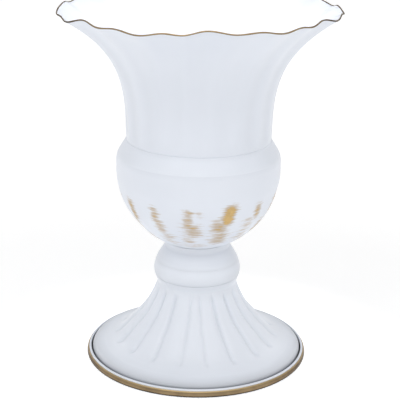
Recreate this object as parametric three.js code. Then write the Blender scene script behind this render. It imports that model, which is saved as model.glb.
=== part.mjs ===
// A memorial vase in painted sheet metal. A fluted trumpet with a wavy brass-edged rim stands on a ribbed
// bowl, a turned knop and a fluted foot in a brass base ring. One tie rod clamps the stack.
// Millimetres, Z up. The vase stands on z = 0, its axis is the Z axis, and its front faces -Y.

import * as THREE from "three";

// Shared by every piece
const sheet = 0.8; // wall of the pressed and spun parts
const clearance = 0.3; // gap between two pieces that touch
const fluteCount = 18; // waves of the rim, flutes of the trumpet and grooves of the foot
const waveSteps = 4; // faces round each flute or rib

// Pad, pan and brass band under the foot
const padThickness = 1.5;
const padWidth = 14;
const padInset = 9.1; // from the outside of the lip to the pad
const panGap = 0.9; // between the edge of the foot and the hem of the lip
const panHem = 1.5; // thickness of the hem rolled along the upturned lip
const panLipHeight = 4; // from the underside of the pan to the top of the lip
const panBossRadius = 17; // the middle of the pan is pushed up over the lower nut
const panBossSlope = 6; // width of the slope around it
const panBend = 1; // bevel between the flat and the lip
const bandThickness = 0.8;
const bandHeight = 3.3;
const bandLift = 1.2; // the band stays this far off the ground

// Foot
const footHeight = 58.2;
const footEdgeRadius = 75.7;
const footPinchRadius = 28.7;
const footCollarRadius = 29.5;
const footPinchHeight = 51.6; // above the bottom of the foot
const footEdgeHeight = 3.1; // height of the widest point above the bottom of the foot
const footEdgeTuck = 1.4; // how far the rolled edge turns in below its widest point
const footHoleSlack = 3.2; // around the tie rod, in the flange on top
const grooveDepth = 1.1;
const grooveShare = 0.35; // of each flute
const grooveTop = 50; // above the bottom of the foot
const grooveBottom = 7;
const grooveRunOut = 10; // each end of a groove fades over this height
const grooveOffset = 10; // degrees from the front to the first groove

// Knop
const knopRingHeight = 10.9;
const knopRingRadius = 30.9;
const knopSeamRadius = 28.2; // both parts of the knop meet here
const knopSeat = 3.7; // width of the faces that meet at the seam
const knopCapHeight = 13.9;
const knopNeckRadius = 22.8;
const knopCapWall = 2.6;
const knopCapHollow = 6; // height of the wide part of the hollow in the cap

// Bowl
const bowlRadius = 57.5;
const bowlDepth = 58; // of the full half ellipse below the widest level
const bowlWall = 9.5; // straight wall above the widest level
const ribCount = 14;
const ribHeight = 0.7;
const ribOffset = -5; // degrees from the front to the nearest rib
const ribTop = 6; // below the widest level
const ribBottom = 48;
const ribRunOut = 10; // each end of a rib fades over this height

// Shoulder
const shoulderHeight = 10.3;
const shoulderWidth = 7.1; // how much narrower the neck is than the bowl
const shoulderCurve = 1.35; // exponent of the slope
const skirtDepth = 6; // how far the ring reaches into the bowl
const collarHeight = 6; // how far it reaches into the trumpet

// Trumpet and rim
const trumpetHeight = 89.2;
const rimRadius = 95;
const trumpetFlare = 3.2; // exponent of the outline
const fluteAtNeck = 0.3; // half the depth of the flutes
const fluteAtRim = 1.25;
const fluteGrowth = 3; // exponent of how they deepen towards the rim
const waveOffset = 3; // degrees from the front to the nearest crest
const beadRadius = 0.7;
const beadSides = 6;

// Tie rod and what it clamps
const rodRadius = 3;
const rodFloorGap = 3.3; // from the ground to the lower end of the rod
const rodBelowNut = 1.5;
const rodAboveNut = 2;
const nutAcrossFlats = 10;
const nutHeight = 5;
const washerWidth = 4.7;
const washerThickness = 1.2;
const lockWasherWidth = 2.3;
const lockWasherThickness = 1.4;
const lockWasherSlit = 14; // degrees
const spigotWall = 1.4; // of the rubber bush in the hole of the bowl
const sealFlangeWidth = 6.2;
const sealFlangeThickness = 1.6;
const saddleRoom = 7.2; // between the saddle and the inside of the knop
const saddleMargin = 1; // how much wider the flat of the bowl is than the saddle
const saddleThickness = 2;
const tubeWall = 1.8;
const tubeSeat = 5.5; // how far the flange of the tube covers the foot's flange
const tubeFlangeThickness = 1.6;

// Radii that follow from these
const rodHole = rodRadius + clearance;
const panLipRadius = footEdgeRadius + panGap + panHem;
const bandInner = panLipRadius + clearance;
const footHole = rodHole + footHoleSlack;
const knopBore = knopSeamRadius - knopSeat;
const knopNeckInside = knopNeckRadius - knopCapWall;
const saddleRadius = knopNeckInside - saddleRoom;
const bowlFlatRadius = saddleRadius + saddleMargin;
const bowlHole = rodHole + spigotWall + clearance;
const neckRadius = bowlRadius - shoulderWidth;

// Levels, from the ground up
const baseNutBottom = rodFloorGap + rodBelowNut;
const lockWasherBottom = baseNutBottom + nutHeight + clearance;
const bossTop = lockWasherBottom + lockWasherThickness + clearance + sheet;
const panBottom = padThickness + clearance;
const panTop = panBottom + sheet;
const footBottom = panTop + clearance;
const footTop = footBottom + footHeight;
const knopRingBottom = footTop + clearance;
const knopSeam = knopRingBottom + knopRingHeight;
const knopCapBottom = knopSeam + clearance;
const knopTop = knopCapBottom + knopCapHeight;
const bowlLevel = knopTop + clearance + bowlDrop(knopNeckRadius); // where the bowl is widest
const bowlBottom = bowlLevel - bowlDrop(bowlFlatRadius);
const bowlTop = bowlLevel + bowlWall;
const shoulderBottom = bowlTop + clearance;
const shoulderTop = shoulderBottom + shoulderHeight;
const trumpetBottom = shoulderTop + clearance;

// How far the bowl's surface lies below its widest level
function bowlDrop(radius) {
  return bowlDepth * Math.sqrt(1 - (radius / bowlRadius) ** 2);
}

const vase = new THREE.Group();

const finishes = {
  whitePaint: { color: 0xdfe3e8, roughness: 0.45, metalness: 0 },
  brass: { color: 0x9a8260, roughness: 0.35, metalness: 1 },
  zincSteel: { color: 0xa9abac, roughness: 0.4, metalness: 1 },
  rubber: { color: 0x2b2b2c, roughness: 0.8, metalness: 0 },
  felt: { color: 0x55565a, roughness: 1, metalness: 0 },
};

function add(name, geometry, finish) {
  const mesh = new THREE.Mesh(geometry, new THREE.MeshStandardMaterial(finishes[finish]));
  mesh.name = name;
  vase.add(mesh);
  return mesh;
}

// A section is a list of [radius, height] points, with the outside of the piece going up.
function turned(section, segments) {
  const points = [...section, section[0]].map(([radius, height]) => new THREE.Vector2(radius, height));
  return new THREE.LatheGeometry(points, segments).rotateX(Math.PI / 2);
}

// A washer, bush or disc with a hole
function washerShape(bore, radius, bottom, thickness, segments) {
  const top = bottom + thickness;
  return turned([[bore, bottom], [radius, bottom], [radius, top], [bore, top]], segments);
}

// A ring whose closed section changes with the angle from the front
function pressedRing(angles, sectionAt) {
  const sections = angles.map(sectionAt);
  const rows = sections[0].length;
  const corners = [];
  sections.forEach((section, i) => {
    const across = Math.sin(angles[i]);
    const back = -Math.cos(angles[i]);
    section.forEach(([radius, height]) => corners.push(radius * across, radius * back, height));
  });
  const faces = [];
  for (let i = 0; i < sections.length; i++) {
    const here = i * rows;
    const next = ((i + 1) % sections.length) * rows;
    for (let j = 0; j < rows; j++) {
      const up = (j + 1) % rows;
      faces.push(here + j, next + j, next + up, here + j, next + up, here + up);
    }
  }
  const geometry = new THREE.BufferGeometry();
  geometry.setAttribute("position", new THREE.Float32BufferAttribute(corners, 3));
  geometry.setIndex(faces);
  geometry.computeVertexNormals();
  return geometry;
}

// Equal steps all the way round
function evenAngles(count) {
  return Array.from({ length: count }, (_, i) => (i * 2 * Math.PI) / count);
}

// The same line moved outwards by a distance that may change from point to point, with mitred corners
function moved(line, distanceAt) {
  const normals = line.slice(1).map(([radius, height], i) => {
    const run = radius - line[i][0];
    const rise = height - line[i][1];
    const length = Math.hypot(run, rise);
    return [rise / length, -run / length];
  });
  return line.map(([radius, height], i) => {
    const before = normals[Math.max(i - 1, 0)];
    const after = normals[Math.min(i, normals.length - 1)];
    const share = distanceAt([radius, height]) / (1 + before[0] * after[0] + before[1] * after[1]);
    return [radius + share * (before[0] + after[0]), height + share * (before[1] + after[1])];
  });
}

// The section of a sheet whose outside follows a line and is pressed in or out by a distance
function sheetSection(line, pressAt) {
  const outside = moved(line, pressAt);
  const inside = moved(line, (point) => pressAt(point) - sheet);
  return [...outside, ...inside.reverse()];
}

// 1 between two limits and 0 outside them, with soft ends
function runOut(low, high, fade, value) {
  const rise = THREE.MathUtils.smoothstep(value, low, low + fade);
  return rise * (1 - THREE.MathUtils.smoothstep(value, high - fade, high));
}

// Felt pad: the flat ring that the vase stands on
const padRadius = panLipRadius - padInset;
add("base_pad", washerShape(padRadius - padWidth, padRadius, 0, padThickness, 36), "felt");

// Base pan: a flat pan pushed up in the middle over the lower nut, its lip turned up and rolled in to a hem
const panHemBottom = panBottom + panLipHeight - panHem;
const panLine = [
  [rodHole, bossTop - sheet],
  [panBossRadius, bossTop - sheet],
  [panBossRadius + panBossSlope, panBottom],
  [panLipRadius - panBend, panBottom],
  [panLipRadius, panBottom + panBend],
  [panLipRadius, panHemBottom],
];
const panHemRound = panHem / 2;
const panHemLine = [0, 60, 120, 180].map((degrees) => {
  const angle = THREE.MathUtils.degToRad(degrees);
  return [
    panLipRadius - panHemRound * (1 - Math.cos(angle)),
    panHemBottom + panHemRound * (1 + Math.sin(angle)),
  ];
});
const panOutside = moved(panLine, () => 0);
const panInside = moved(panLine, () => -sheet);
add("base_pan", turned([...panOutside, ...panHemLine, ...panInside.reverse()], 48), "whitePaint");

// Base band: a brass hoop around the lip, its outline as shares [up, out] from the inside
const bandLine = [[0, 0.4], [0.18, 1], [0.5, 1], [0.8, 0.7], [1, 0.15]].map(([up, out]) => [
  bandInner + out * bandThickness,
  bandLift + up * bandHeight,
]);
const bandSection = [[bandInner, bandLift], ...bandLine, [bandInner, bandLift + bandHeight]];
add("base_band", turned(bandSection, 48), "brass");

// Foot: a pressed sheet with a flat brim and a rolled edge, closed by a flange on top
// Shares of the way from the pinch to the edge, as [down, out]
const footFlank = [[0, 0], [0.19, 0.07], [0.4, 0.2], [0.63, 0.4], [0.79, 0.56]];
const footBrim = [[0.88, 0.69], [0.93, 0.81], [0.96, 0.91], [0.97, 0.97]];
const footEdge = footBottom + footEdgeHeight;
const footPinch = footBottom + footPinchHeight;
const footCurve = [...footFlank, ...footBrim].map(([down, out]) => [
  footPinchRadius + out * (footEdgeRadius - footPinchRadius),
  footPinch - down * (footPinch - footEdge),
]);
const footLine = [
  [footEdgeRadius - footEdgeTuck, footBottom],
  [footEdgeRadius - footEdgeTuck / 4, footBottom + footEdgeHeight / 2],
  [footEdgeRadius, footEdge],
  ...footCurve.reverse(),
  [footCollarRadius, footTop],
  [footHole, footTop],
];
const groovePitch = 360 / fluteCount;
const footShares = [0, 0.5 - grooveShare / 2, 0.5, 0.5 + grooveShare / 2];
const footSteps = footShares.map((share) => share * groovePitch);
const footAngles = [];
for (let i = 0; i < fluteCount; i++) {
  const rib = grooveOffset + (i - 0.5) * groovePitch;
  footSteps.forEach((step) => footAngles.push(THREE.MathUtils.degToRad(rib + step)));
}
function footSection(angle, index) {
  const inGroove = index % footSteps.length === 2 ? 1 : 0;
  return sheetSection(footLine, ([, height]) => {
    const level = height - footBottom;
    return -grooveDepth * inGroove * runOut(grooveBottom, grooveTop, grooveRunOut, level);
  });
}
add("foot", pressedRing(footAngles, footSection), "whitePaint");

// Knop ring: the turned bead on top of the foot, its outline as shares [up, out] from the seam's radius
const knopRingLine = [[0, 0.63], [0.24, 1], [0.52, 0.89], [0.8, 0.5], [1, 0]].map(([up, out]) => [
  knopSeamRadius + out * (knopRingRadius - knopSeamRadius),
  knopRingBottom + up * knopRingHeight,
]);
const knopRingSection = [[knopBore, knopRingBottom], ...knopRingLine, [knopBore, knopSeam]];
add("knop_ring", turned(knopRingSection, 36), "whitePaint");

// Knop cap: the turned neck that carries the bowl, its outline as shares [up, out] from the neck's radius
const knopCapLine = [[0, 1], [0.16, 0.82], [0.36, 0.46], [0.55, 0.12], [0.75, 0]].map(([up, out]) => [
  knopNeckRadius + out * (knopSeamRadius - knopNeckRadius),
  knopCapBottom + up * knopCapHeight,
]);
const knopTopInside = bowlLevel - bowlDrop(knopNeckInside) - clearance;
const knopCapSection = [
  ...knopCapLine,
  [knopNeckRadius, knopTop],
  [knopNeckInside, knopTopInside],
  [knopNeckInside, knopCapBottom + knopCapHollow],
  [knopBore, knopCapBottom],
];
add("knop_cap", turned(knopCapSection, 36), "whitePaint");

// Bowl: a spun half ellipse with a straight wall, a flat bottom and shallow upright ribs
const bowlSteps = 7;
const bowlLine = [[bowlHole, bowlBottom], [bowlFlatRadius, bowlBottom]];
const bowlStart = Math.asin(bowlFlatRadius / bowlRadius);
for (let i = 1; i <= bowlSteps; i++) {
  const angle = bowlStart + ((Math.PI / 2 - bowlStart) * i) / bowlSteps;
  bowlLine.push([bowlRadius * Math.sin(angle), bowlLevel - bowlDepth * Math.cos(angle)]);
}
bowlLine.push([bowlRadius, bowlTop]);
function bowlSection(angle) {
  const wave = 0.5 - 0.5 * Math.cos(ribCount * (angle - THREE.MathUtils.degToRad(ribOffset)));
  return sheetSection(bowlLine, ([, height]) => {
    return -ribHeight * wave * runOut(ribTop, ribBottom, ribRunOut, bowlLevel - height);
  });
}
add("bowl", pressedRing(evenAngles(ribCount * waveSteps), bowlSection), "whitePaint");

// Shoulder ring: slopes in from the bowl to the neck, with a skirt in the bowl and a collar in the trumpet
const skirtRadius = bowlRadius - sheet - clearance;
const collarRadius = neckRadius - fluteAtNeck - sheet - clearance;
const shoulderSlope = [0, 0.25, 0.5, 0.75, 1].map((share) => [
  neckRadius + (bowlRadius - neckRadius) * (1 - share) ** shoulderCurve,
  shoulderBottom + share * shoulderHeight,
]);
const shoulderInside = moved(shoulderSlope, () => -sheet).slice(1, -1);
const shoulderSection = [
  [skirtRadius, shoulderBottom - skirtDepth],
  [skirtRadius, shoulderBottom],
  ...shoulderSlope,
  [collarRadius, shoulderTop],
  [collarRadius, shoulderTop + collarHeight],
  [collarRadius - sheet, shoulderTop + collarHeight],
  [collarRadius - sheet, shoulderTop - sheet],
  ...shoulderInside.reverse(),
  [skirtRadius - sheet, shoulderBottom],
  [skirtRadius - sheet, shoulderBottom - skirtDepth],
];
add("shoulder_ring", turned(shoulderSection, 40), "whitePaint");

// Trumpet: a flared sheet whose flutes grow towards the rim and make its waves
const trumpetSteps = 9;
const trumpetSpacing = 1.45; // above 1, the rows lie closer together towards the rim
const trumpetLine = [];
for (let i = 0; i <= trumpetSteps; i++) {
  const share = 1 - (1 - i / trumpetSteps) ** trumpetSpacing;
  trumpetLine.push([
    neckRadius + (rimRadius - neckRadius) * share ** trumpetFlare,
    trumpetBottom + share * trumpetHeight,
  ]);
}
const waveStart = THREE.MathUtils.degToRad(waveOffset);
const waveAngles = evenAngles(fluteCount * waveSteps).map((angle) => angle + waveStart);
function flutePress(angle, height) {
  const share = (height - trumpetBottom) / trumpetHeight;
  const depth = fluteAtNeck + (fluteAtRim - fluteAtNeck) * share ** fluteGrowth;
  return -depth * Math.cos(fluteCount * (angle - waveStart));
}
function trumpetSection(angle) {
  return sheetSection(trumpetLine, ([, height]) => flutePress(angle, height));
}
add("trumpet", pressedRing(waveAngles, trumpetSection), "whitePaint");

// Rim bead: a brass wire along the wavy edge of the trumpet
function beadSection(angle) {
  const middle = moved(trumpetLine, ([, height]) => flutePress(angle, height) - sheet / 2);
  const [edge, inner] = [middle[trumpetSteps], trumpetLine[trumpetSteps - 1]];
  const last = trumpetLine[trumpetSteps];
  const length = Math.hypot(last[0] - inner[0], last[1] - inner[1]);
  const reach = (clearance + beadRadius) / length;
  const centre = [edge[0] + reach * (last[0] - inner[0]), edge[1] + reach * (last[1] - inner[1])];
  return evenAngles(beadSides).map((turn) => [
    centre[0] + beadRadius * Math.cos(turn),
    centre[1] + beadRadius * Math.sin(turn),
  ]);
}
add("rim_bead", pressedRing(waveAngles, beadSection), "brass");

// Stem tube: a flanged spacer that carries the bowl's saddle on the foot
const saddleTop = bowlBottom - clearance;
const saddleBottom = saddleTop - saddleThickness;
const tubeTop = saddleBottom - clearance;
const tubeBottom = footTop + clearance;
const tubeRadius = rodHole + tubeWall;
const tubeFlangeRadius = footHole + tubeSeat;
const tubeSection = [
  [rodHole, tubeBottom],
  [tubeFlangeRadius, tubeBottom],
  [tubeFlangeRadius, tubeBottom + tubeFlangeThickness],
  [tubeRadius, tubeBottom + tubeFlangeThickness],
  [tubeRadius, tubeTop],
  [rodHole, tubeTop],
];
add("stem_tube", turned(tubeSection, 24), "zincSteel");

// Saddle plate under the flat of the bowl
add("saddle_plate", washerShape(rodHole, saddleRadius, saddleBottom, saddleThickness, 24), "zincSteel");

// Bowl seal: a rubber bush in the hole of the bowl, with a flange on the inside
const bowlFloor = bowlBottom + sheet;
const sealTop = bowlFloor + clearance + sealFlangeThickness;
const spigotRadius = bowlHole - clearance;
const sealFlangeRadius = rodHole + sealFlangeWidth;
const sealSection = [
  [rodHole, bowlBottom],
  [spigotRadius, bowlBottom],
  [spigotRadius, bowlFloor + clearance],
  [sealFlangeRadius, bowlFloor + clearance],
  [sealFlangeRadius, sealTop],
  [rodHole, sealTop],
];
add("bowl_seal", turned(sealSection, 24), "rubber");

// Washer and nut inside the bowl
const washerBottom = sealTop + clearance;
const washerRadius = rodHole + washerWidth;
add("bowl_washer", washerShape(rodHole, washerRadius, washerBottom, washerThickness, 24), "zincSteel");

// A hexagon nut with a plain bore
function nutShape(bottom) {
  const outline = new THREE.Shape();
  const cornerRadius = nutAcrossFlats / Math.sqrt(3);
  for (let i = 0; i < 6; i++) {
    const angle = (i * Math.PI) / 3;
    const corner = [cornerRadius * Math.cos(angle), cornerRadius * Math.sin(angle)];
    if (i === 0) outline.moveTo(...corner);
    else outline.lineTo(...corner);
  }
  outline.closePath();
  outline.holes.push(new THREE.Path().absarc(0, 0, rodHole, 0, 2 * Math.PI, true));
  const options = { depth: nutHeight, bevelEnabled: false, curveSegments: 12 };
  return new THREE.ExtrudeGeometry(outline, options).translate(0, 0, bottom);
}
const topNutBottom = washerBottom + washerThickness + clearance;
add("top_nut", nutShape(topNutBottom), "zincSteel");

// Lock washer and nut under the pan
const lockWasherRadius = rodHole + lockWasherWidth;
const lockRing = new THREE.Shape();
const slit = THREE.MathUtils.degToRad(lockWasherSlit);
lockRing.absarc(0, 0, lockWasherRadius, slit / 2, 2 * Math.PI - slit / 2, false);
lockRing.absarc(0, 0, rodHole, 2 * Math.PI - slit / 2, slit / 2, true);
lockRing.closePath();
const lockOptions = { depth: lockWasherThickness, bevelEnabled: false, curveSegments: 16 };
const lockSolid = new THREE.ExtrudeGeometry(lockRing, lockOptions).translate(0, 0, lockWasherBottom);
add("lock_washer", lockSolid, "zincSteel");
add("base_nut", nutShape(baseNutBottom), "zincSteel");

// Tie rod through the whole stack
const rodTop = topNutBottom + nutHeight + rodAboveNut;
const rod = new THREE.CylinderGeometry(rodRadius, rodRadius, rodTop - rodFloorGap, 16).rotateX(Math.PI / 2);
add("tie_rod", rod, "zincSteel").position.z = (rodFloorGap + rodTop) / 2;

export default vase;
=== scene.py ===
# Memorial vase in white painted sheet metal. A fluted trumpet with a wavy brass rim stands on a ribbed
# bowl, whose ribs are rubbed through to brass. Under it are a turned knop and a grooved foot, in a pan
# with a brass band.
# Z is up and the front faces -Y. The dictionaries hold millimetres and degrees from the front.

import math

import bpy
import numpy as np
from mathutils import Matrix, Vector


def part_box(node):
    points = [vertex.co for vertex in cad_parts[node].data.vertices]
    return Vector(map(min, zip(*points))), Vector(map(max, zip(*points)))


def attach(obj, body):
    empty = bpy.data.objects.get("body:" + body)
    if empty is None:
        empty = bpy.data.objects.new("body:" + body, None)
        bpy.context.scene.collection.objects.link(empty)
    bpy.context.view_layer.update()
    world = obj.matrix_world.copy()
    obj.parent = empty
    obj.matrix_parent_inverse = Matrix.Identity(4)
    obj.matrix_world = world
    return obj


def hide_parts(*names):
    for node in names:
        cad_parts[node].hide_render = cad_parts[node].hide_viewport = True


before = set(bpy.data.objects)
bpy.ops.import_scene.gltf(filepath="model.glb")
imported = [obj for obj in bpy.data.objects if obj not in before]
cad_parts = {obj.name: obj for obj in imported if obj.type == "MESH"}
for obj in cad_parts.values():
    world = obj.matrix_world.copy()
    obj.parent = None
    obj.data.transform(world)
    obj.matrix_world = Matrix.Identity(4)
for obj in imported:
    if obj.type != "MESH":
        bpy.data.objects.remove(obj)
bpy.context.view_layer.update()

print("frame loaded:", len(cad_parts), "CAD nodes")

mm = 0.001
sheet = 0.8  # thickness of the pressed and spun parts
clearance = 0.3  # between two parts that fit into each other
rodHole = 3.3  # in the pan, the nuts, the washer and the seal
bowlRim = 0.1  # how far below the top of its box the bowl's straight wall ends


# Camera and studio

view = {
    "lens": 110.6,
    "sensor": 36,
    "place": (1.4, -825, 384.8),
    "pitch": 18.09,
    "roll": 0.84,
}
cameraData = bpy.data.cameras.new("camera")
cameraData.lens = view["lens"]
cameraData.sensor_width = view["sensor"]
camera = bpy.data.objects.new("camera", cameraData)
bpy.context.scene.collection.objects.link(camera)
tilt = Matrix.Rotation(math.radians(90 - view["pitch"]), 4, "X")
roll = Matrix.Rotation(math.radians(view["roll"]), 4, "Z")
camera.matrix_world = Matrix.Translation([v * mm for v in view["place"]]) @ tilt @ roll
bpy.context.scene.camera = camera


def toLinear(hexColour):
    # sRGB hex to the linear colour that a socket takes
    shares = [int(hexColour[i : i + 2], 16) / 255 for i in (1, 3, 5)]
    return [v / 12.92 if v <= 0.04045 else ((v + 0.055) / 1.055) ** 2.4 for v in shares] + [1]


def addNode(tree, kind, settings=None, links=None):
    # settings holds the node's own options and socket values, links the outputs that feed its sockets
    node = tree.nodes.new("ShaderNode" + kind)
    for name, value in (settings or {}).items():
        if isinstance(name, str) and hasattr(node, name):
            setattr(node, name, value)
        else:
            node.inputs[name].default_value = value
    for name, output in (links or {}).items():
        tree.links.new(output, node.inputs[name])
    return node


studio = {
    "sky": "#FFFFFF",
    "skyStrength": 0.63,
    "floorColour": "#F8F8F8",
    "floorRadius": 20000,
    "floorCorners": 96,
    "floorRoughness": 0.9,
    # glow of the paper, as [from, to distance], [from, to strength]: more of it further out, where the
    # soft boxes don't reach, and some more right around the base, against its soft shadow
    "glows": [[[250, 900], [0.24, 0.4]], [[80, 170], [0.38, 0]]],
    "aim": (0, 0, 125),
    "distance": 1500,
    "boxSize": 600,
    # name: turn from the front, height above the horizon, watts
    "softBoxes": {
        "front": [0, 40, 1.45],
        "leftHigh": [-40, 50, 2.25],
        "rightHigh": [40, 50, 1.75],
        "leftLow": [-45, 20, 0.2],
        "leftRim": [-140, 25, 1.6],
        "rightRim": [140, 25, 1.8],
    },
    # a snooted lamp straight above, whose cone is as wide as the mouth of the vase
    "mouthLamp": {"height": 1500, "cone": 9.2, "softEdge": 0.12, "watts": 52, "size": 60},
}

world = bpy.data.worlds.new("studio")
bpy.context.scene.world = world
world.use_nodes = True
world.node_tree.nodes.clear()
sky = addNode(
    world.node_tree,
    "Background",
    {"Color": toLinear(studio["sky"]), "Strength": studio["skyStrength"]},
)
addNode(world.node_tree, "OutputWorld", links={"Surface": sky.outputs[0]})
bpy.context.scene.view_settings.view_transform = "Standard"


def addLamp(name, kind, place, watts):
    lamp = bpy.data.lights.new(name, kind)
    lamp.energy = watts
    holder = bpy.data.objects.new(name, lamp)
    bpy.context.scene.collection.objects.link(holder)
    holder.location = [v * mm for v in place]
    return holder


for name, (turn, height, watts) in studio["softBoxes"].items():
    across = studio["distance"] * math.cos(math.radians(height))
    aimX, aimY, aimZ = studio["aim"]
    place = (
        aimX + across * math.sin(math.radians(turn)),
        aimY - across * math.cos(math.radians(turn)),
        aimZ + studio["distance"] * math.sin(math.radians(height)),
    )
    holder = addLamp(name, "AREA", place, watts)
    holder.data.size = studio["boxSize"] * mm
    away = holder.location - Vector(studio["aim"]) * mm
    holder.rotation_euler = away.to_track_quat("Z", "Y").to_euler()

snoot = studio["mouthLamp"]
mouthLamp = addLamp("mouthLamp", "SPOT", (0, 0, snoot["height"]), snoot["watts"])
mouthLamp.data.spot_size = math.radians(snoot["cone"])
mouthLamp.data.spot_blend = snoot["softEdge"]
mouthLamp.data.shadow_soft_size = snoot["size"] / 2 * mm
print("camera and studio placed")


# Finishes


# Sockets of a Mix node, which has several with each name: for two numbers and for two colours
numberA, numberB, colourA, colourB = 2, 3, 6, 7


def perSize(size):
    # Scale of a pattern whose repeat is this many millimetres
    return 1 / (size * mm)


def twoColours(first, second):
    # Settings of a Mix node between two fixed colours
    return {"data_type": "RGBA", colourA: toLinear(first), colourB: toLinear(second)}


def fromTo(end, pair):
    # Both settings of one end of a range, From or To
    return {end + " Min": pair[0], end + " Max": pair[1]}


def newFinish(name):
    # An empty material, with its patterns laid out on the piece itself
    material = bpy.data.materials.new(name)
    material.use_nodes = True
    tree = material.node_tree
    tree.nodes.clear()
    return material, tree, addNode(tree, "TexCoord").outputs["Object"]


def addRelief(tree, place, finish, **options):
    # A fine noise and its bump. The finish holds the size, height and strength of the grain
    grain = addNode(tree, "TexNoise", {"Scale": perSize(finish["grain"]), **options}, {"Vector": place})
    bump = addNode(
        tree,
        "Bump",
        {"Strength": finish["grainStrength"], "Distance": finish["grainHeight"] * mm},
        {"Height": grain.outputs["Fac"]},
    )
    return grain.outputs["Fac"], bump.outputs[0]


def closeFinish(material, values, links):
    # The surface itself, with its fixed values and with the patterns linked to it
    shader = addNode(material.node_tree, "BsdfPrincipled", values, links)
    addNode(material.node_tree, "OutputMaterial", links={"Surface": shader.outputs[0]})
    return material


enamel = {
    "colour": "#E6EAF2",
    "shade": "#DEE3EC",
    # a brighter pair of tones, painted light for shoulder, knop and foot
    "brighterColour": "#ECF0F8",
    "brighterShade": "#E4E9F1",
    "shadeDark": "#1B1D22",  # painted shade: the dark that each piece's pattern mixes in, at joints, creases, undersides and sides
    "roughness": [0.33, 0.43],  # it comes and goes with the clouds of the spray
    "ior": 1.5,
    "clouds": 45,
    "grain": 1.6,  # its orange peel, 0.4 to 0.8 on the real paint, drawn coarser so that it shows
    "grainHeight": 0.012,
    "grainStrength": 0.6,
}


def layEnamel(tree, place, light="colour", dark="shade"):
    # Sprayed and baked enamel: a cool white satin, whose orange peel breaks up the highlights a little
    clouds = addNode(
        tree, "TexNoise", {"Scale": perSize(enamel["clouds"]), "Detail": 3}, {"Vector": place}
    )
    clean = addNode(tree, "Mix", twoColours(enamel[dark], enamel[light]), {0: clouds.outputs["Fac"]})
    # painted shade: each piece's grime pattern darkens the enamel where shade falls
    grime = addNode(tree, "Attribute", {"attribute_name": "grime"})
    colour = addNode(
        tree,
        "Mix",
        {"data_type": "RGBA", colourB: toLinear(enamel["shadeDark"])},
        {0: grime.outputs["Fac"], colourA: clean.outputs[2]},
    )
    roughness = addNode(
        tree, "MapRange", fromTo("To", enamel["roughness"]), {"Value": clouds.outputs["Fac"]}
    )
    _, relief = addRelief(tree, place, enamel, Detail=2)
    return {"Base Color": colour.outputs[2], "Roughness": roughness.outputs[0], "Normal": relief}


def makeSatinEnamel(name, *tones):
    # The enamel by itself, as it lies on most of the sheet metal
    material, tree, place = newFinish(name)
    return closeFinish(material, {"IOR": enamel["ior"]}, layEnamel(tree, place, *tones))


rubbed = {
    "brass": "#D8B87C",
    "dullBrass": "#B69A6C",
    "thinEnamel": "#B9A488",  # where the brass only shines through
    "thinShare": 0.85,
    "metallic": 0.75,
    "roughness": 0.45,
    "scratchLength": 10,
    "scratchPitch": 1,  # 0.2 to 0.5 under real abrasive cloth, drawn coarser so that it shows
    "scratchWeight": 2.1,  # how much the strokes break up the rub
    "scratchDepth": 0.15,
    "flecks": 2.6,
    "fleckWeight": 0.5,
    "middle": 0.56,  # the patterns' value that leaves the rub as it is
    "reach": 1.35,
    "reachedFrom": 0.12,
    "thinFrom": [0, 0.95],  # where the enamel starts to thin, and where it is at its thinnest
    "bareFrom": [0.85, 1.15],
}


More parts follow.
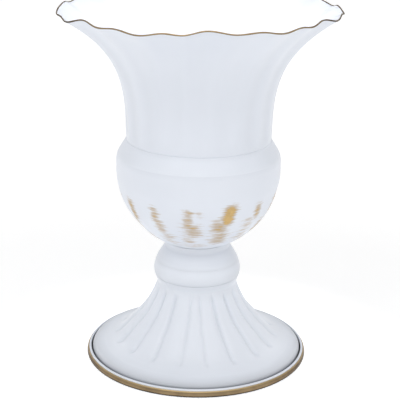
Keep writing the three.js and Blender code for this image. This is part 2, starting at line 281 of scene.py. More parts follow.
def makeRubbedEnamel():
    # Enamel cut back on the lathe until brass shows on the ribs, in strokes that run round the bowl
    material, tree, place = newFinish("rubbed white enamel over brass")
    coat = layEnamel(tree, place)
    along = perSize(rubbed["scratchLength"])
    stretch = addNode(
        tree,
        "VectorMath",
        {"operation": "MULTIPLY", 1: (along, along, perSize(rubbed["scratchPitch"]))},
        {0: place},
    )
    strokes = addNode(tree, "TexNoise", {"Scale": 1, "Detail": 3}, {"Vector": stretch.outputs[0]})
    flecks = addNode(
        tree, "TexNoise", {"Scale": perSize(rubbed["flecks"]), "Detail": 3}, {"Vector": place}
    )
    rub = addNode(tree, "Attribute", {"attribute_name": "rub"})
    middle = -rubbed["middle"] * (rubbed["scratchWeight"] + rubbed["fleckWeight"])
    fresh = addNode(
        tree,
        "Math",
        {"operation": "MULTIPLY_ADD", 1: rubbed["reach"], 2: middle},
        {0: rub.outputs["Fac"]},
    )
    scratched = addNode(
        tree,
        "Math",
        {"operation": "MULTIPLY_ADD", 1: rubbed["scratchWeight"]},
        {0: strokes.outputs["Fac"], 2: fresh.outputs[0]},
    )
    worn = addNode(
        tree,
        "Math",
        {"operation": "MULTIPLY_ADD", 1: rubbed["fleckWeight"]},
        {0: flecks.outputs["Fac"], 2: scratched.outputs[0]},
    )
    reached = addNode(
        tree, "MapRange", {"From Max": rubbed["reachedFrom"]}, {"Value": rub.outputs["Fac"]}
    )
    cutThrough = addNode(
        tree, "Math", {"operation": "MULTIPLY"}, {0: worn.outputs[0], 1: reached.outputs[0]}
    )
    thin = addNode(
        tree,
        "MapRange",
        {
            "interpolation_type": "SMOOTHSTEP",
            **fromTo("From", rubbed["thinFrom"]),
            "To Max": rubbed["thinShare"],
        },
        {"Value": cutThrough.outputs[0]},
    )
    bare = addNode(
        tree,
        "MapRange",
        {"interpolation_type": "SMOOTHSTEP", **fromTo("From", rubbed["bareFrom"])},
        {"Value": cutThrough.outputs[0]},
    )
    brass = addNode(
        tree, "Mix", twoColours(rubbed["dullBrass"], rubbed["brass"]), {0: flecks.outputs["Fac"]}
    )
    veiled = addNode(
        tree,
        "Mix",
        {"data_type": "RGBA", colourB: toLinear(rubbed["thinEnamel"])},
        {0: thin.outputs[0], colourA: coat["Base Color"]},
    )
    colour = addNode(
        tree,
        "Mix",
        {"data_type": "RGBA"},
        {0: bare.outputs[0], colourA: veiled.outputs[2], colourB: brass.outputs[2]},
    )
    cut = addNode(
        tree, "Math", {"operation": "MULTIPLY"}, {0: strokes.outputs["Fac"], 1: rub.outputs["Fac"]}
    )
    scored = addNode(
        tree,
        "Bump",
        {"Distance": rubbed["scratchDepth"] * mm},
        {"Height": cut.outputs[0], "Normal": coat["Normal"]},
    )
    metallic = addNode(tree, "MapRange", {"To Max": rubbed["metallic"]}, {"Value": bare.outputs[0]})
    roughness = addNode(
        tree,
        "Mix",
        {"data_type": "FLOAT", numberB: rubbed["roughness"]},
        {0: bare.outputs[0], numberA: coat["Roughness"]},
    )
    links = {
        "Base Color": colour.outputs[2],
        "Metallic": metallic.outputs[0],
        "Roughness": roughness.outputs[0],
        "Normal": scored.outputs[0],
    }
    return closeFinish(material, {"IOR": enamel["ior"]}, links)


agedBrass = {
    "colour": "#CBB286",
    "tarnish": "#75644F",
    # painted shade: the dark brown of the lowest edges
    "shadeDark": "#2E261E",
    "darkFrom": [1, 1.5],
    "roughness": [0.34, 0.54],  # polished and tarnished
    "blotches": 9,
    "blotchWeight": 0.45,
    "tarnishFrom": [0.2, 1.1],
    "grain": 0.9,  # 0.05 on real drawn brass, drawn coarser so that it shows
    "grainHeight": 0.02,
    "grainStrength": 0.5,
}


def makeAgedBrass():
    # Drawn brass left to darken: a warm satin metal with blotches of tarnish, and the painted shade and
    # highlight of each piece: brown to dark on lower edges and sides, bright on top edges
    material, tree, place = newFinish("aged drawn brass")
    blotches = addNode(
        tree, "TexNoise", {"Scale": perSize(agedBrass["blotches"]), "Detail": 4}, {"Vector": place}
    )
    # each piece's tarnish with its painted shade and highlight
    grime = addNode(tree, "Attribute", {"attribute_name": "grime"})
    dark = addNode(
        tree,
        "Math",
        {"operation": "MULTIPLY_ADD", 1: agedBrass["blotchWeight"]},
        {0: blotches.outputs["Fac"], 2: grime.outputs["Fac"]},
    )
    aged = addNode(
        tree, "MapRange", fromTo("From", agedBrass["tarnishFrom"]), {"Value": dark.outputs[0]}
    )
    warm = addNode(
        tree, "Mix", twoColours(agedBrass["colour"], agedBrass["tarnish"]), {0: aged.outputs[0]}
    )
    darkened = addNode(
        tree, "MapRange", fromTo("From", agedBrass["darkFrom"]), {"Value": dark.outputs[0]}
    )
    colour = addNode(
        tree,
        "Mix",
        {"data_type": "RGBA", colourB: toLinear(agedBrass["shadeDark"])},
        {0: darkened.outputs[0], colourA: warm.outputs[2]},
    )
    roughness = addNode(
        tree, "MapRange", fromTo("To", agedBrass["roughness"]), {"Value": aged.outputs[0]}
    )
    _, relief = addRelief(tree, place, agedBrass, Detail=2)
    links = {"Base Color": colour.outputs[2], "Roughness": roughness.outputs[0], "Normal": relief}
    return closeFinish(material, {"Metallic": 1}, links)


zinc = {
    "colour": "#C3C6C9",
    "shade": "#9DA1A5",
    "roughness": [0.3, 0.48],
    "crystals": 1.8,
    "grain": 0.4,  # its turning marks
    "grainHeight": 0.02,
    "grainStrength": 0.4,
}


def makeZincPlate():
    # Zinc-plated steel: a pale grey metal with a faint crystal mottle over its turning marks
    material, tree, place = newFinish("zinc plated steel")
    crystals = addNode(tree, "TexVoronoi", {"Scale": perSize(zinc["crystals"])}, {"Vector": place})
    shade = addNode(tree, "SeparateColor", links={"Color": crystals.outputs["Color"]})
    colour = addNode(tree, "Mix", twoColours(zinc["shade"], zinc["colour"]), {0: shade.outputs[0]})
    turning, relief = addRelief(tree, place, zinc, Detail=2)
    roughness = addNode(tree, "MapRange", fromTo("To", zinc["roughness"]), {"Value": turning})
    links = {"Base Color": colour.outputs[2], "Roughness": roughness.outputs[0], "Normal": relief}
    return closeFinish(material, {"Metallic": 1}, links)


rubber = {
    "colour": "#2B2B2C",
    "bloom": "#4A4A4B",
    "roughness": 0.78,
    "ior": 1.52,
    "bloomSize": 5,
    "grain": 0.8,
    "grainHeight": 0.03,
    "grainStrength": 0.5,
}


def makeMouldedRubber():
    # Moulded EPDM rubber: matt black with a thin grey bloom
    material, tree, place = newFinish("moulded black rubber")
    bloom = addNode(
        tree, "TexNoise", {"Scale": perSize(rubber["bloomSize"]), "Detail": 4}, {"Vector": place}
    )
    colour = addNode(
        tree, "Mix", twoColours(rubber["colour"], rubber["bloom"]), {0: bloom.outputs["Fac"]}
    )
    _, relief = addRelief(tree, place, rubber, Detail=2)
    return closeFinish(
        material,
        {"Roughness": rubber["roughness"], "IOR": rubber["ior"]},
        {"Base Color": colour.outputs[2], "Normal": relief},
    )


felt = {
    "colour": "#63656A",
    "shade": "#46484C",
    "roughness": 0.95,
    "sheen": 0.3,
    "grain": 0.7,  # its fibres
    "tangle": 1.5,
    "grainHeight": 0.15,
    "grainStrength": 0.8,
}


def makePressedFelt():
    # Pressed wool felt: soft dark grey, mottled by its fibres, with a faint sheen at grazing angles
    material, tree, place = newFinish("pressed grey felt")
    fibres, relief = addRelief(tree, place, felt, Detail=6, Distortion=felt["tangle"])
    colour = addNode(tree, "Mix", twoColours(felt["shade"], felt["colour"]), {0: fibres})
    return closeFinish(
        material,
        {"Roughness": felt["roughness"], "Sheen Weight": felt["sheen"]},
        {"Base Color": colour.outputs[2], "Normal": relief},
    )


def makeFloorPaper():
    # White paper with a painted glow: pale all the way back, and without a hard shadow
    material, tree, place = newFinish("white paper with painted glow")
    distance = addNode(tree, "VectorMath", {"operation": "LENGTH"}, {0: place})
    glows = []
    for (near, far), strengths in studio["glows"]:
        span = {**fromTo("From", [near * mm, far * mm]), **fromTo("To", strengths)}
        glow = addNode(
            tree,
            "MapRange",
            {"interpolation_type": "SMOOTHSTEP", **span},
            {"Value": distance.outputs["Value"]},
        )
        glows.append(glow.outputs[0])
    allGlow = addNode(tree, "Math", {"operation": "ADD"}, {0: glows[0], 1: glows[1]})
    values = {
        "Base Color": toLinear(studio["floorColour"]),
        "Roughness": studio["floorRoughness"],
        "Emission Color": toLinear(studio["floorColour"]),
    }
    return closeFinish(material, values, {"Emission Strength": allGlow.outputs[0]})


satinEnamel = makeSatinEnamel("satin white enamel")
# Painted light: shoulder, knop and foot get a brighter copy of the enamel than the trumpet and the bowl
paintedLightEnamel = makeSatinEnamel("brighter satin white enamel for painted light", "brighterColour", "brighterShade")
rubbedEnamel = makeRubbedEnamel()
brassMetal = makeAgedBrass()
zincPlate = makeZincPlate()
blackRubber = makeMouldedRubber()
greyFelt = makePressedFelt()
print("finishes made")


# Shared shapes


def smoothStep(low, high, value):
    share = np.clip((value - low) / (high - low), 0, 1)
    return share * share * (3 - 2 * share)


def evenTurn(columns):
    # Angles all the way round, counted from the front towards +X
    return np.arange(columns) * 2 * math.pi / columns


def sidewaysTurn(columns):
    # How far each column is from the front or the back, in degrees, up to 90 at the sides
    return np.degrees(np.arcsin(np.abs(np.sin(evenTurn(columns)))))[:, None]


def throughPoints(points, steps):
    # A smooth line through a few [radius, height] points
    before = np.multiply(points[0], 2) - points[1]
    beyond = np.multiply(points[-1], 2) - points[-2]
    knots = np.array([before, *points, beyond])
    share = np.arange(steps)[:, None] / steps
    pieces = []
    for a, b, c, d in zip(knots, knots[1:], knots[2:], knots[3:]):
        bend = 2 * a - 5 * b + 4 * c - d
        pieces.append(b + 0.5 * share * (c - a + share * (bend + share * (3 * (b - c) + d - a))))
    return np.concatenate([*pieces, knots[-2:-1]])


def softCorners(corners, reach, steps=4, most=0.45):
    # A closed section whose corners are rounded off over that reach, or that share of a short side
    corners = np.array(corners, float)
    line = []
    for before, corner, after in zip(np.roll(corners, 1, 0), corners, np.roll(corners, -1, 0)):
        back, ahead = before - corner, after - corner
        start = corner + back * min(reach / np.hypot(*back), most)
        end = corner + ahead * min(reach / np.hypot(*ahead), most)
        for share in np.linspace(0, 1, steps):
            line.append((1 - share) ** 2 * start + 2 * share * (1 - share) * corner + share**2 * end)
    return np.array(line)


def sheetSections(line, press):
    # Both faces of a sheet along a line that goes up, with round edges; press is [angle, row], outwards
    tangent = np.gradient(line, axis=0)
    tangent /= np.hypot(tangent[:, 0], tangent[:, 1])[:, None]
    outwards = np.stack([tangent[:, 1], -tangent[:, 0]], axis=1)
    half = sheet / 2
    outside = line[None] + press[..., None] * outwards[None]
    inside = outside - sheet * outwards[None]
    turns = np.radians([45, 90, 135])[:, None]  # three points round each edge
    edges = {}
    for end, way in ((-1, 1), (0, -1)):
        middle = outside[:, end] - half * outwards[end]
        across = np.cos(turns) * half * way * outwards[end]
        beyond = np.sin(turns) * half * way * tangent[end]
        edges[end] = middle[:, None] + across[None] + beyond[None]
    section = np.concatenate([outside, edges[-1], inside[:, ::-1], edges[0]], axis=1)
    return section[..., 0], section[..., 1]


def turnedSections(line, columns):
    # The same closed section all the way round
    return np.tile(line[:, 0], (columns, 1)), np.tile(line[:, 1], (columns, 1))


def levelRow(first, last, height, count):
    # Evenly spaced [radius, height] points on one level
    return np.column_stack([np.linspace(first, last, count), np.full(count, height)])


def addRing(name, radius, height, finish, slot, node, **patterns):
    # Skins a closed section that may change with the angle. Radius, height and the patterns that the
    # finish reads are all [angle, row]
    count, rows = radius.shape
    turn = evenTurn(count)[:, None]
    corners = np.stack([radius * np.sin(turn), -radius * np.cos(turn), height], axis=-1) * mm
    here = np.arange(count)[:, None] * rows
    following = np.roll(here, -1, axis=0)
    row = np.arange(rows)[None, :]
    up = (row + 1) % rows
    faces = np.stack([here + row, following + row, following + up, here + up], axis=-1)
    mesh = bpy.data.meshes.new(name)
    mesh.from_pydata(corners.reshape(-1, 3).tolist(), [], faces.reshape(-1, 4).tolist())
    mesh.shade_smooth()
    for pattern, values in patterns.items():
        attribute = mesh.attributes.new(pattern, "FLOAT", "POINT")
        attribute.data.foreach_set("value", np.ascontiguousarray(values, np.float32).ravel())
    mesh.materials.append(finish)
    piece = bpy.data.objects.new(name, mesh)
    bpy.context.scene.collection.objects.link(piece)
    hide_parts(node)
    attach(piece, "root")
    return piece


def addTurned(name, corners, settings, finish, slot, node):
    radius, height = turnedSections(softCorners(corners, settings["softness"]), settings["columns"])
    addRing(name, radius, height, finish, slot, node)


def levels(node):
    # Lowest and highest level of a CAD node
    low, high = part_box(node)
    return low.z / mm, high.z / mm


# Trumpet and its rim

trumpet = {
    "neckRadius": 50.4,
    "rimRadius": 95,
    "flare": 3.1,
    "fluteCount": 18,
    "fluteDepth": 0.4,
    "fluteOffset": 1,
    "fluteStart": 0.08,  # as a share of the height, clear of the shoulder
    "waveGrowth": 3,
    "underShade": [0.1, 0.45, 0.035],  # painted shade under the flare, from and to a share of the height, and how much
    "fluteShade": 0.045,  # painted shade, which at the sides lies only in the flutes
    "shadeSides": [25, 50],
    "bottom": levels("trumpet")[0],
    "height": 89.2,
    "columns": 720,
    "rows": 90,
    "rowSpread": 1.45,  # more rows where the wall flares
    "hairRow": 0.03,  # a row that close to the lower edge keeps the turn of its shading
}

# Crests and troughs of the hand-pressed rim, as [angle, lift]
rimWaves = [
    [-80, -2], [-71, -1.2], [-63, -2.6], [-51, 1.8], [-41, -1], [-34, -0.1], [-23, -2.5], [-13, -0.1],
    [-7, -0.8], [3, 2.4], [14, -0.3], [23, 0.6], [32, -1.3], [42, 1], [47, 0.3], [56, 3], [68, -0.4],
    [79, 1], [88, -1.2], [98, 1.6], [108, -1.4], [118, 0.9], [128, -1.6], [139, 1.8], [149, -1],
    [159, 1.2], [169, -1.8], [180, 2.2], [190, -1.2], [200, 0.8], [210, -1.9], [221, 1.5], [231, -0.9],
    [241, 1.9], [251, -1.6], [261, 1.2], [270, -0.8],
]


def rimLift(angles):
    # A smooth wave from each listed crest or trough to the next
    turns = np.array([turn for turn, _ in rimWaves] + [rimWaves[0][0] + 360])
    lifts = np.array([lift for _, lift in rimWaves] + [rimWaves[0][1]])
    degrees = (np.degrees(angles) - turns[0]) % 360 + turns[0]
    index = np.clip(np.searchsorted(turns, degrees, side="right") - 1, 0, len(rimWaves) - 1)
    share = (degrees - turns[index]) / (turns[index + 1] - turns[index])
    return lifts[index] + (lifts[index + 1] - lifts[index]) * (0.5 - 0.5 * np.cos(math.pi * share))


def trumpetLine():
    # The outline without flutes and waves, and the share of the height of each of its points
    share = 1 - (1 - np.linspace(0, 1, trumpet["rows"])) ** trumpet["rowSpread"]
    share = np.insert(share, 1, share[1] * trumpet["hairRow"])
    widening = trumpet["rimRadius"] - trumpet["neckRadius"]
    radius = trumpet["neckRadius"] + widening * share ** trumpet["flare"]
    return np.column_stack([radius, trumpet["bottom"] + share * trumpet["height"]]), share


def fluteShape(angles, share):
    # 1 at the bottom of a flute and -1 on the crest between two, without the smooth ends
    flutes = np.cos(trumpet["fluteCount"] * (angles - math.radians(trumpet["fluteOffset"])))[:, None]
    return flutes * smoothStep(0, trumpet["fluteStart"], share)[None]


def trumpetPress(angles, share):
    # How far the sheet is pressed outwards: in flutes, which give way to the waves of the rim
    waves = share[None] ** trumpet["waveGrowth"]
    flutes = fluteShape(angles, share)
    return -trumpet["fluteDepth"] * flutes * (1 - waves) - rimLift(angles)[:, None] * waves


def trumpetShade(angles, share):
    # Painted shade under the flare in front and behind, and at the sides in the flutes
    start, end, most = trumpet["underShade"]
    inFlutes = 0.5 + 0.5 * fluteShape(angles, share)
    aside = smoothStep(*trumpet["shadeSides"], sidewaysTurn(len(angles)))
    even = most * smoothStep(start, end, share)[None] * (1 - aside)
    return even + trumpet["fluteShade"] * inFlutes * aside


trumpetAngles = evenTurn(trumpet["columns"])
flareLine, flareShare = trumpetLine()
flarePress = trumpetPress(trumpetAngles, flareShare)


def addTrumpet():
    radius, height = sheetSections(flareLine, flarePress)
    grime = np.zeros(radius.shape)
    grime[:, : len(flareLine)] = trumpetShade(trumpetAngles, flareShare)
    addRing("trumpetSheet", radius, height, satinEnamel, "white_paint", "trumpet", grime=grime)


addTrumpet()

bead = {
    "radius": 0.52,
    "reach": 0.7,  # of its middle beyond the edge of the sheet
    "sides": 16,
    "unevenness": [[23, 0.06, 0], [61, 0.04, 1]],  # waves all round, share of the radius, phase
    "grime": [0.42, 0.86],  # painted shade: lighter at the front and the back, darker at the sides
    "grimeFrom": [35, 65],
    "lowerShade": 0.3,
}


def addRimBead():
    # A brass wire along the waves of the edge, a little uneven as it was pressed on by hand
    last = flareLine[-1] - flareLine[-2]
    last /= np.hypot(*last)
    outwards = np.array([last[1], -last[0]])
    centre = flareLine[-1] + (flarePress[:, -1:] - sheet / 2) * outwards + bead["reach"] * last
    around = np.linspace(0, 2 * math.pi, bead["sides"], endpoint=False)
    size = np.ones(len(trumpetAngles))
    for waves, share, phase in bead["unevenness"]:
        size += share * np.sin(waves * trumpetAngles + phase)
    size *= bead["radius"]
    radius = centre[:, :1] + size[:, None] * np.cos(around)[None]
    height = centre[:, 1:] + size[:, None] * np.sin(around)[None]
    # painted shade: darker on the lower half of the wire and at the sides
    lower = 0.5 - 0.5 * np.sin(around)[None]
    bright, dull = bead["grime"]
    aside = smoothStep(*bead["grimeFrom"], sidewaysTurn(trumpet["columns"]))
    grime = bright + (dull - bright) * aside + bead["lowerShade"] * lower
    addRing("rimBead", radius, height, brassMetal, "brass_edge", "rim_bead", grime=grime)


addRimBead()
print("trumpet and rim made")


# Shoulder between trumpet and bowl

shoulder = {
    "slopeWidth": 7.1,
    "slopeCurve": 1.05,  # rounds over towards the bowl
    "lap": 0.35,  # its thin upper edge laps over the lower edge of the trumpet
    "lapWidth": 0.08,
    "cornerDrop": 0.5,  # the corner between bowl and shoulder is rounded off
    "cornerReach": 1.5,
    # painted shade at the sides
    "sideShade": 0.06,
    "shadeSides": [40, 65],
    "lapShade": 0.045,  # painted shade along the lap
    "topReach": 4,
    "sheetAcross": [0.75, 0.66],  # of the sheet's thickness, inwards and down
    "hair": [0.08, 0],  # a row that close to the lower edge keeps the turn of its shading
    "columns": 240,
    "rows": 24,
    "rowSpread": 1.5,  # more rows towards the bowl
}


def addShoulder():
    bowlRadius = trumpet["neckRadius"] + shoulder["slopeWidth"]
    bottom, top = levels("shoulder_ring")
    low = levels("bowl")[1] - bowlRim  # the real joints are drawn down tight, so they hardly show
    seat = levels("trumpet")[0] - bowlRim
    high = levels("trumpet")[0] + shoulder["lap"]
    neck = trumpet["neckRadius"] + shoulder["lapWidth"]
    share = np.linspace(0, 1, shoulder["rows"]) ** shoulder["rowSpread"]
    slope = np.column_stack(
        [neck + (bowlRadius - neck) * (1 - share ** shoulder["slopeCurve"]), low + share * (high - low)]
    )
    slope[:, 0] -= shoulder["cornerDrop"] * np.exp((low - slope[:, 1]) / shoulder["cornerReach"])
    skirt = bowlRadius - sheet - clearance
    collar = trumpet["neckRadius"] - trumpet["fluteDepth"] - sheet - clearance
    under = slope[1:-1][::-1] - np.multiply(shoulder["sheetAcross"], sheet)
    section = np.concatenate(
        [
            [[skirt, bottom], [skirt, low], slope[0] - shoulder["hair"]],
            slope,
            [slope[-1] - [shoulder["lapWidth"] / 2, 0], [neck - shoulder["lapWidth"] / 2, seat]],
            [[collar, seat], [collar, top], [collar - sheet, top], [collar - sheet, seat - sheet]],
            under,
            [[skirt - sheet, low], [skirt - sheet, bottom]],
        ]
    )
    radius, height = turnedSections(section, shoulder["columns"])
    # painted shade: darker at the sides and along the lap
    aside = smoothStep(*shoulder["shadeSides"], sidewaysTurn(shoulder["columns"]))
    sideShade = shoulder["sideShade"] * aside
    lapShade = shoulder["lapShade"] * smoothStep(high - shoulder["topReach"], high, height)
    grime = np.maximum(sideShade, lapShade)
    addRing("shoulderRing", radius, height, paintedLightEnamel, "white_paint", "shoulder_ring", grime=grime)


addShoulder()
print("shoulder made")


# Bowl

bowl = {
    "radius": 57.5,
    "depth": 58,
    "wall": 9.5,
    "wallStart": 1,  # above the end of the curve
    "cornerFrom": [-3, 0.5],  # from and to this far above the top, it narrows to the shoulder's corner
    "flatRadius": 14,
    "flatEnd": 0.5,  # before the start of the curve
    "hole": 5,
    "ribCount": 14,
    "ribHeight": 0.7,
    "ribOffset": -5,
    "ribTop": 6,
    "ribBottom": 48,
    "ribRunOut": 10,
    "underShade": [132, 112, 0.036],  # painted shade towards the knop: from level, to level, share
    "columns": 560,
    "rows": 120,
    "flatRows": 8,
    "wallRows": 20,
}

# Where the ribs are rubbed through to brass: [angle, lowest and highest level, width, lean, strength]
rubStreaks = [
    [23, 111, 130, 10, 0.12, 1.3], [17, 104, 119, 12, 0, 0.85], [20, 93, 109, 15, 0, 0.68],
    [-7, 107, 127, 9, 0.1, 0.7], [1, 118, 126, 6, 0, 0.62], [-4, 100, 116, 15, 0, 0.72],
    [-8, 94, 106, 13, 0, 0.5], [-5, 88, 97, 22, 0, 0.48],
    [-33, 110, 127, 8, 0, 0.68], [-31, 102, 118, 9, 0, 0.65], [-28, 92, 106, 12, 0, 0.52],
    [-57, 107, 127, 8, 0, 0.8], [-62, 98, 113, 8, 0, 0.75], [-54, 91, 101, 9, 0, 0.6],
    [49, 112, 128, 8, -0.15, 0.75], [43, 105, 118, 11, 0, 0.5], [44, 93, 108, 12, 0, 0.45],
    [75, 108, 129, 11, 0, 0.85], [66, 95, 112, 8, 0, 0.65], [55, 90, 99, 9, 0, 0.6],
]

# The ribs that the photograph doesn't show are rubbed in the same way, as [angle, strength], each by
# two streaks, as [lowest and highest level, width, lean, added strength]
backRubs = [
    [98, 0.7], [124, 0.55], [149, 0.8], [175, 0.6], [200, 0.7], [226, 0.6], [252, 0.75], [277, 0.65],
]
backStreaks = [[107, 128, 9, 0, 0], [94, 110, 12, 0, -0.15]]
for turn, strength in backRubs:
    rubStreaks += [[turn, *streak[:-1], strength + streak[-1]] for streak in backStreaks]

# How the streaks run out, from and to this far above their lowest and highest level
streakEnds = {"low": [-2, 6], "high": [-5, 2]}


def rubbedShare(angles, radius, height):
    # 0 where the enamel is whole, towards 1 on the streaks, on both faces alike
    rub = np.zeros(radius.shape)
    for turn, low, high, width, lean, strength in rubStreaks:
        middle = math.radians(turn) + np.radians(lean) * (height - (low + high) / 2)
        offset = (angles[:, None] - middle + math.pi) % (2 * math.pi) - math.pi
        across = np.exp(-((offset * radius / (width / 2)) ** 2))
        ends = smoothStep(*np.add(streakEnds["low"], low), height)
        ends = ends * (1 - smoothStep(*np.add(streakEnds["high"], high), height))
        rub = np.maximum(rub, strength * across * ends)
    return rub


def addBowl():
    angles = evenTurn(bowl["columns"])
    top = levels("bowl")[1]
    level = top - bowl["wall"]
    start = math.asin(bowl["flatRadius"] / bowl["radius"])
    climb = np.linspace(start, math.pi / 2, bowl["rows"])
    curve = np.column_stack([bowl["radius"] * np.sin(climb), level - bowl["depth"] * np.cos(climb)])
    flat = levelRow(bowl["hole"], bowl["flatRadius"] - bowl["flatEnd"], curve[0, 1], bowl["flatRows"])
    wallLevels = np.linspace(level + bowl["wallStart"], top - bowlRim, bowl["wallRows"])
    narrowing = smoothStep(*np.add(bowl["cornerFrom"], top), wallLevels)
    wallRadius = bowl["radius"] - shoulder["cornerDrop"] * narrowing
    outline = np.concatenate([flat, curve, np.column_stack([wallRadius, wallLevels])])
    wave = 0.5 - 0.5 * np.cos(bowl["ribCount"] * (angles - math.radians(bowl["ribOffset"])))
    below = level - outline[:, 1]
    fade = smoothStep(bowl["ribTop"], bowl["ribTop"] + bowl["ribRunOut"], below)
    fade *= 1 - smoothStep(bowl["ribBottom"] - bowl["ribRunOut"], bowl["ribBottom"], below)
    radius, height = sheetSections(outline, -bowl["ribHeight"] * wave[:, None] * fade[None])
    rub = rubbedShare(angles, radius, height)
    # painted shade, darker down towards the knop
    high, low, most = bowl["underShade"]
    grime = most * (1 - smoothStep(low, high, height))
    for pattern in (rub, grime):
        pattern[:, len(outline) :] = 0  # the inside stays whole, without rub or painted shade
    addRing("bowlShell", radius, height, rubbedEnamel, "white_paint", "bowl", rub=rub, grime=grime)


addBowl()
print("bowl made")


# Knop

knop = {
    "ringRadius": 30.8,
    "seamRadius": 29.2,
    "neckRadius": 22.8,
    "bore": 24.5,
    "neckInside": 20.2,
    "hollow": 6,
    "drawnDown": 0.18,  # how far the real joints close up on the gaps of the solids
    "columns": 240,
    # outlines as shares [up, out], and the turned lines as levels
    "ringOutline": [[0, 0.59], [0.2, 0.93], [0.44, 1], [0.7, 0.68], [1, 0]],
    "capOutline": [[0, 1], [0.16, 0.84], [0.37, 0.56], [0.59, 0.24], [0.74, 0.02], [1, 0]],
    "turnedLines": [76.2, 80.4],
    "lineDepth": 0.05,
    "lineWidth": 0.7,
    "outlineSteps": 12,
    "neckChamfer": 0.9,
    # painted shade, as [from level, to level, share]
    "neckShade": [77, 86, 0.11],  # up to the bowl
    "lowShade": [70, 62, 0.11],  # down to the foot
    "sideShade": [84, 76, 0.1],  # below the neck, only at the sides
    "shadeSides": [32, 75],
    # painted shade along the seams
    "seamShade": 0.03,
    "seamReach": 1.4,
}


def knopOutline(shares, bottom, top, inner, outer):
    points = [[inner + out * (outer - inner), bottom + up * (top - bottom)] for up, out in shares]
    outline = throughPoints(points, knop["outlineSteps"])
    for level in knop["turnedLines"]:
        away = (outline[:, 1] - level) / knop["lineWidth"]
        outline[:, 0] -= knop["lineDepth"] * np.exp(-(away**2))
    return outline


def knopShade(height, seams):
    # Painted shade under the bowl, down to the foot, at the sides and along the seams
    low, high, share = knop["neckShade"]
    grime = share * smoothStep(low, high, height)
    high, low, share = knop["lowShade"]
    grime += share * (1 - smoothStep(low, high, height))
    high, low, share = knop["sideShade"]
    aside = smoothStep(*knop["shadeSides"], sidewaysTurn(knop["columns"]))
    grime += share * aside * (1 - smoothStep(low, high, height))
    for seam in seams:
        grime += knop["seamShade"] * np.exp(-(((height - seam) / knop["seamReach"]) ** 2))
    return grime


def addKnopPart(name, section, seams, node):
    # seams holds the levels of its open joints
    radius, height = turnedSections(section, knop["columns"])
    grime = knopShade(height, seams)
    addRing(name, radius, height, paintedLightEnamel, "white_paint", node, grime=grime)


def addKnop():
    ringBottom, ringTop = levels("knop_ring")
    capBottom, capTop = levels("knop_cap")
    ringBottom -= knop["drawnDown"]
    capBottom -= knop["drawnDown"]
    capTop += knop["drawnDown"]
    neck, seam, ring, bore = (knop[name] for name in ("neckRadius", "seamRadius", "ringRadius", "bore"))
    outline = knopOutline(knop["ringOutline"], ringBottom, ringTop, seam, ring)
    section = np.concatenate([[[bore, ringBottom]], outline, [[bore, ringTop]]])
    addKnopPart("knopRing", section, [ringBottom, ringTop], "knop_ring")
    outline = knopOutline(knop["capOutline"], capBottom, capTop, neck, seam)
    inside = [
        [neck, capTop],
        [knop["neckInside"], capTop - knop["neckChamfer"]],
        [knop["neckInside"], capBottom + knop["hollow"]],
        [bore, capBottom],
    ]
    addKnopPart("knopCap", np.concatenate([outline, inside]), [capBottom], "knop_cap")


addKnop()
print("knop made")


# Foot

foot = {
    "edgeRadius": 75.3,
    "pinchRadius": 28.5,
    "collarRadius": 30.1,
    "collarCurve": [29, 55],  # [radius, height] on the way from the pinch up to the knop
    "pinchHeight": 51.6,
    "edgeHeight": 4,
    "hole": 6.5,
    "flangeStart": 0.6,  # inside the collar
    # shares of the way from the pinch to the edge, as [down, out]
    "flank": [[0, 0], [0.19, 0.08], [0.4, 0.2], [0.63, 0.4], [0.8, 0.56], [0.89, 0.69], [0.935, 0.8]],
    # the rolled edge, as [inwards from the widest place, above the edge height]
    "roll": [[5.7, 2.2], [2.4, 1.3], [0.5, 0.1], [0, -1.4], [0.4, -2.7], [1.4, -4]],
    "outlineSteps": 14,
    "flangeRows": 8,
    "swell": 1.6,  # how far the ribs stand out beside the grooves
    "softSide": 2.2,  # the side of each groove towards the front is softer than the other
    "sharpSide": 4.5,
    "creaseDepth": 0.25,  # the narrow bottom of each groove
    "creaseWidth": 2.6,
    # painted shade along the narrow bottom of each groove
    "creaseShade": 0.055,
    "grooveTop": 53,
    "grooveBottom": 9.5,
    "grooveRunOut": [3, 6],  # at the bottom and at the top
    "collarShade": [48, 60, 0.1],  # painted shade up to the knop: from level, to level, share
    "edgeShade": 0.48,  # painted shade, darker down to the open joint with the pan
    "edgeReach": 4.6,
    "jointFrom": [0.3, -0.6],  # painted shade in the joint itself, from and to this far above the roll's widest place
    "frontJointShade": 0.2,  # painted shade in the joint: this share of it in front and behind, all of it at the sides
    "darkFrom": [60, 86],
    "columns": 1080,
}

# The grooves between the ribs, pressed in by hand: [turn at the top, turn at the lower end, strength]
footGrooves = [
    [-70, -72, 1], [-50, -52, 1.1], [-31, -31, 1], [-7, -11.5, 0.6], [4, 8.5, 0.6], [22.5, 29, 1],
    [42, 50, 1.1], [61, 69, 1], [82, 88, 0.9], [103, 107, 1], [124, 126, 1.1], [145, 146, 0.9],
    [166, 166, 0.8], [187, 186, 0.8], [208, 206, 1], [228, 227, 1.1], [249, 247, 0.9], [270, 268, 1],
]


